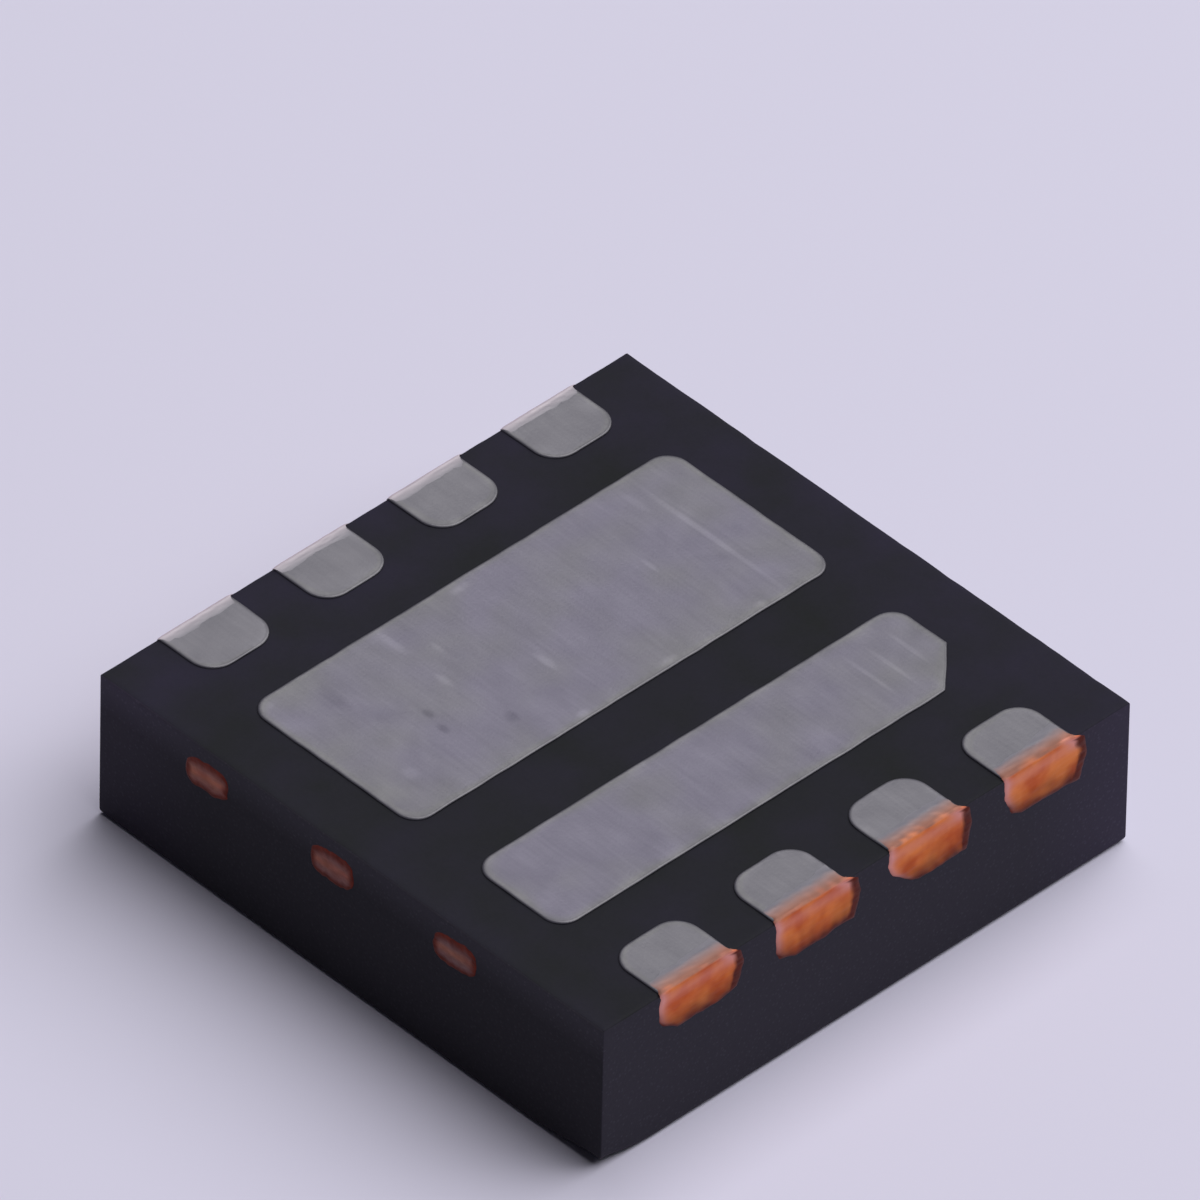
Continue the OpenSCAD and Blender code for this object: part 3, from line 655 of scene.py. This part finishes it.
# Marks that handling left: where on the face, half size along X and Y, and how light.
MARKS = [(-0.68, 0.40, 0.03, 0.05, -0.55), (-0.70, 0.29, 0.03, 0.05, -0.55),
         (-0.44, 0.155, 0.045, 0.05, -0.4), (-0.9, 0.74, 0.06, 0.12, -0.3),
         (-0.1, 0.31, 0.028, 0.09, 0.6), (-0.49, 0.51, 0.03, 0.07, 0.5),
         (-0.49, 0.82, 0.03, 0.12, 0.5), (-0.37, 0.67, 0.025, 0.06, 0.4),
         (-1.13, 0.88, 0.045, 0.03, 0.3), (-0.05, 0.88, 0.07, 0.03, 0.5),
         (0.63, 0.45, 0.02, 0.07, 0.45), (0.94, 0.43, 0.022, 0.62, 0.5),
         (0.86, 0.78, 0.03, 0.12, 0.35), (0.82, -0.66, 0.018, 0.24, 0.45),
         (0.93, -0.66, 0.018, 0.20, 0.5), (1.06, -0.64, 0.02, 0.16, 0.45),
         (-0.21, -0.03, 0.05, 0.03, 0.6), (0.28, -0.03, 0.07, 0.03, 0.5),
         (0.8, -0.03, 0.04, 0.03, 0.5), (-0.99, 0.18, 0.05, 0.06, 0.35)]
# Painted light: lighter towards the back (+Y).
light = add(tree, "Math", {0: across_y, 1: 0.08, 2: -0.58}, operation="MULTIPLY_ADD")
light = add(tree, "Math", {0: blotch, 1: 0.7, 2: light}, operation="MULTIPLY_ADD")
light = add(tree, "Math", {0: streak, 1: 0.5, 2: light}, operation="MULTIPLY_ADD")
for x, y, half_x, half_y, strength in MARKS:
    off = add(tree, "VectorMath", {0: place, 1: (x, y, TIN_Z)}, operation="SUBTRACT")
    off = add(tree, "VectorMath", {0: off, 1: (1 / half_x, 1 / half_y, 1)},
              operation="MULTIPLY")
    far = add(tree, "VectorMath", {0: off}, operation="LENGTH").outputs["Value"]
    mark = add(tree, "MapRange", {"Value": far, "From Min": 1.0, "From Max": 0.2,
                                  "To Max": strength}, interpolation_type="SMOOTHSTEP")
    light = add(tree, "Math", {0: light, 1: mark}, operation="ADD")
rim_patch = add(tree, "MapRange", {"Value": patch, "From Min": 0.4, "From Max": 0.65,
                                   "To Min": -0.12, "To Max": 0.38})
light = add(tree, "Math", {0: near_rim, 1: rim_patch, 2: light}, operation="MULTIPLY_ADD")
shade = add(tree, "MapRange", {"Value": light, "From Min": -0.6, "From Max": 1.0})
greener = add(tree, "Math", {0: near_rim, 1: 0.6, 2: cast}, operation="MULTIPLY_ADD")
greener = add(tree, "MapRange", {"Value": greener, "From Min": 0.4, "From Max": 0.9})
at_terminals = add(tree, "MapRange", {"Value": off_middle, "From Min": 1.1, "From Max": 1.2,
                                      "To Max": 0.75})
greener = add(tree, "Math", {0: greener, 1: at_terminals}, operation="MAXIMUM")
dark = add(tree, "Mix", {"Factor": greener, "A": linear("5b5962"), "B": linear("5b5b5c")},
           data_type="RGBA")
pale = add(tree, "Mix", {"Factor": greener, "A": linear("7c7a83"), "B": linear("7b7b7a")},
           data_type="RGBA")
colour = add(tree, "Mix", {"Factor": shade, "A": dark, "B": pale}, data_type="RGBA")
# Painted shade on the rims' walls, where they turn down, damping the lamp's highlight.
wall = add(tree, "MapRange", {"Value": near_rim, "From Min": 0.68, "From Max": 0.96,
                              "To Max": 0.8})
colour = add(tree, "Mix", {"Factor": wall, "A": colour, "B": linear("403f44")},
             data_type="RGBA")
dull = add(tree, "MapRange", {"Value": crystal, "To Min": 0.34, "To Max": 0.48})
rough = add(tree, "Math", {0: streak, 1: crystal}, operation="ADD")
relief = add(tree, "Bump", {"Height": rough, "Strength": 0.25, "Distance": 0.0015 * MM})
shader = add(tree, "BsdfPrincipled", {
    "Base Color": colour, "Metallic": 1.0, "Roughness": dull, "Normal": relief})
add(tree, "OutputMaterial", {"Surface": shader})

PAD_R = 0.10
CORNER_CUT = 0.21
RIM_STEP, SPINE_STEP = 0.02, 0.04
for name, seed in (("wide_pad", 400), ("narrow_pad", 420)):
    low, high = (np.array(corner)[:2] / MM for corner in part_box(name + "_finish"))
    parts = []
    for which, start in (((1, 1), 0), ((0, 1), 90), ((0, 0), 180), ((1, 0), 270)):
        tip = np.where(which, high, low)
        inward = np.where(which, -1, 1)
        if name == "narrow_pad" and start == 270:
            parts.append(np.array([tip + [-CORNER_CUT, 0], tip + [0, CORNER_CUT]]))
        else:
            parts.append(arc(tip + inward * PAD_R, PAD_R, start, start + 90))
    path = even_path(np.concatenate(parts), RIM_STEP, True)
    reach = (high[1] - low[1]) / 2
    # Both long sides meet the spine in the same points, so the face has no seam there.
    even_x = np.round(path[:, 0] / SPINE_STEP) * SPINE_STEP
    spine = np.stack([np.clip(even_x, low[0] + reach, high[0] - reach),
                      np.full(len(path), (low[1] + high[1]) / 2)], axis=-1)
    plated_face(name, name + "_finish", path, spine, reach, True, seed)

LEAD_R, LEAD_STEP = 0.12, 0.012
# Rows lie close together at the sawn edge, where the top rounds off, and then evenly.
edge_steps = np.array([0, 0.0008, 0.002, 0.004, 0.007])
EVEN_FROM = 0.01
for i, (low, high) in finish_boxes.items():
    sign = -1 if i <= 4 else 1
    middle, half_lead = (low[0] + high[0]) / 2, (high[0] - low[0]) / 2
    length = high[1] - low[1]
    rim = np.concatenate([
        [[half_lead, EVEN_FROM]], arc([half_lead - LEAD_R, length - LEAD_R], LEAD_R, 0, 90),
        arc([LEAD_R - half_lead, length - LEAD_R], LEAD_R, 90, 180),
        [[-half_lead, EVEN_FROM]]])
    rim = np.concatenate([np.stack([0 * edge_steps + half_lead, edge_steps], axis=1),
                          even_path(rim, LEAD_STEP, False),
                          np.stack([0 * edge_steps - half_lead, edge_steps[::-1]], axis=1)])
    spine = np.stack([0 * rim[:, 0], np.clip(rim[:, 1], 0, length - half_lead)], axis=-1)
    turn = np.array([-sign, -sign])
    sawn_at = np.array([middle, sign * half_width["y"]])
    plated_face(f"terminal_face_{i}", f"terminal_finish_{i}", sawn_at + rim * turn,
                sawn_at + spine * turn, half_lead, False, 440 + 4 * i)


# ---- Floor, light and camera ------------------------------------------------
# A plain pale floor, one large soft lamp above and a little to the right, and the
# camera at the angle of the photograph.

floor_mesh = bpy.data.meshes.new("floor")
half = 0.25
floor_mesh.from_pydata([(-half, -half, 0), (half, -half, 0), (half, half, 0),
                        (-half, half, 0)], [], [(0, 1, 2, 3)])
floor = bpy.data.objects.new("floor", floor_mesh)
bpy.context.scene.collection.objects.link(floor)
pale_floor, tree, place = new_material("pale_floor")
shader = add(tree, "BsdfPrincipled", {
    "Base Color": linear("d6d4ea"), "Roughness": 0.9, "Specular IOR Level": 0.1})
add(tree, "OutputMaterial", {"Surface": shader})
floor_mesh.materials.append(pale_floor)

world = bpy.data.worlds.new("studio_light")
bpy.context.scene.world = world
world.use_nodes = True
tree = world.node_tree
tree.nodes.clear()
rays = add(tree, "LightPath").outputs
seen = add(tree, "Math", {0: rays["Is Camera Ray"], 1: rays["Is Glossy Ray"]},
           operation="MAXIMUM")
seen = add(tree, "Math", {0: seen, 1: rays["Is Transmission Ray"]}, operation="MAXIMUM")
plain = add(tree, "Background", {"Color": linear("f6f5ff"), "Strength": 0.02})
back = add(tree, "Background", {"Color": linear("d3d0e2"), "Strength": 1.0})
mixed = add(tree, "MixShader", {0: seen, 1: plain, 2: back})
add(tree, "OutputWorld", {"Surface": mixed})


def lamp(name, towards, distance, size, level, colour):
    """A square lamp that faces the part from a direction. At level 1 a white surface
    square to it renders about white: its power is pi times the sum of pi times the
    distance squared and the lamp's area."""
    light = bpy.data.lights.new(name, "AREA")
    light.size = size
    light.energy = level * math.pi * (math.pi * distance ** 2 + size ** 2)
    light.color = linear(colour)[:3]
    item = bpy.data.objects.new(name, light)
    bpy.context.scene.collection.objects.link(item)
    out = np.array(towards) / np.linalg.norm(towards)
    across = np.cross([0, 0, 1], out)
    across /= np.linalg.norm(across)
    matrix = np.eye(4)
    matrix[:3, 0], matrix[:3, 1], matrix[:3, 2] = across, np.cross(out, across), out
    matrix[:3, 3] = out * distance
    item.matrix_world = Matrix(matrix.tolist())


lamp("lamp_above", towards=(0.55, -0.15, 1.0), distance=0.12, size=0.16, level=1.08,
     colour="fffdfa")

VIEW_AZIMUTH, VIEW_ELEVATION = math.radians(-44.444), math.radians(41.163)
VIEW_ROLL = math.radians(1.185)
# The picture is 1200 pixels wide. The distance and the shift are in millimetres.
PICTURE_WIDTH, SENSOR_WIDTH = 1200, 36.0
PIXELS_PER_MM, VIEW_DISTANCE, VIEW_SHIFT = 242.136, 150.0, (-0.0509, 0.9367)
back_axis = np.array([math.sin(VIEW_AZIMUTH) * math.cos(VIEW_ELEVATION),
                      -math.cos(VIEW_AZIMUTH) * math.cos(VIEW_ELEVATION),
                      math.sin(VIEW_ELEVATION)])
right_axis = np.cross([0, 0, 1], back_axis)
right_axis /= np.linalg.norm(right_axis)
up_axis = np.cross(back_axis, right_axis)
turned_right = right_axis * math.cos(VIEW_ROLL) + up_axis * math.sin(VIEW_ROLL)
turned_up = up_axis * math.cos(VIEW_ROLL) - right_axis * math.sin(VIEW_ROLL)
camera_data = bpy.data.cameras.new("camera")
camera_data.sensor_width = SENSOR_WIDTH
camera_data.lens = PIXELS_PER_MM * VIEW_DISTANCE * SENSOR_WIDTH / PICTURE_WIDTH
camera_data.clip_start = 0.001
camera = bpy.data.objects.new("camera", camera_data)
bpy.context.scene.collection.objects.link(camera)
matrix = np.eye(4)
matrix[:3, 0], matrix[:3, 1], matrix[:3, 2] = turned_right, turned_up, back_axis
matrix[:3, 3] = (turned_right * VIEW_SHIFT[0] + turned_up * VIEW_SHIFT[1]
                 + back_axis * VIEW_DISTANCE) * MM
camera.matrix_world = Matrix(matrix.tolist())
bpy.context.scene.camera = camera
bpy.context.scene.view_settings.view_transform = "Standard"
